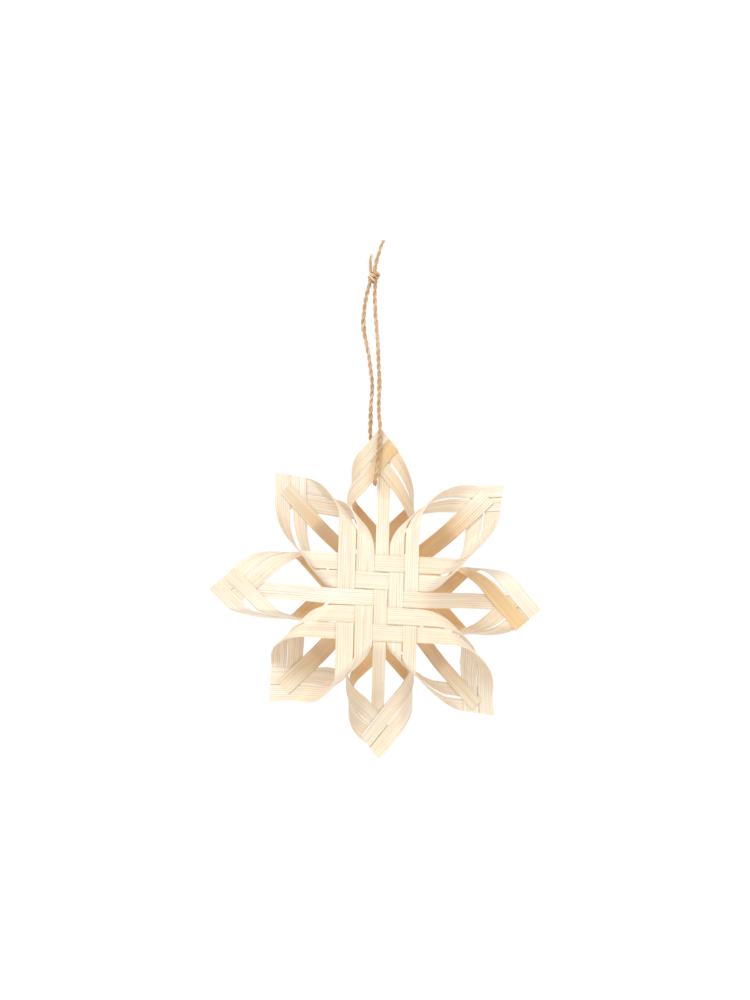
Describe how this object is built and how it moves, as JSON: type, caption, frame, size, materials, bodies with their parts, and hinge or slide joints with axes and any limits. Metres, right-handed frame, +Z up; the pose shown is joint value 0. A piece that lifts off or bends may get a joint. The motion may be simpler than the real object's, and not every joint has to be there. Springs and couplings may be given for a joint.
{
  "type": "woven splint star ornament",
  "caption": "Eight-pointed star woven from flat wooden splints with curled petals, hung on a knotted twine loop.",
  "frame": {"origin": "inside top of the twine loop, just under the knot, where the star hangs from", "axes": "+Z up, +X to the right as the front is seen, +Y through the star's thickness away from the front"},
  "size_m": [0.15, 0.0532, 0.2349],
  "materials": {
    "front_splints": "pale unfinished split wood with fine lengthwise grain, matt to satin",
    "rear_splints": "warmer tan split wood with fine lengthwise grain, matt to satin",
    "twine": "two-ply jute twine, matt and slightly hairy"
  },
  "bodies": {
    "root": {"front_upright_splint_1": "front_splints", "front_upright_splint_2": "front_splints", "front_upright_splint_3": "front_splints", "front_upright_splint_4": "front_splints", "front_upright_splint_5": "front_splints", "front_crosswise_splint_1": "front_splints", "front_crosswise_splint_2": "front_splints", "front_crosswise_splint_3": "front_splints", "front_crosswise_splint_4": "front_splints", "front_crosswise_splint_5": "front_splints", "rear_upright_splint_1": "rear_splints", "rear_upright_splint_2": "rear_splints", "rear_upright_splint_3": "rear_splints", "rear_upright_splint_4": "rear_splints", "rear_upright_splint_5": "rear_splints", "rear_crosswise_splint_1": "rear_splints", "rear_crosswise_splint_2": "rear_splints", "rear_crosswise_splint_3": "rear_splints", "rear_crosswise_splint_4": "rear_splints", "rear_crosswise_splint_5": "rear_splints", "hanging_twine_loop": "twine", "twine_knot": "twine", "twine_long_tail": "twine", "twine_short_tail": "twine"}
  },
  "joints": []
}
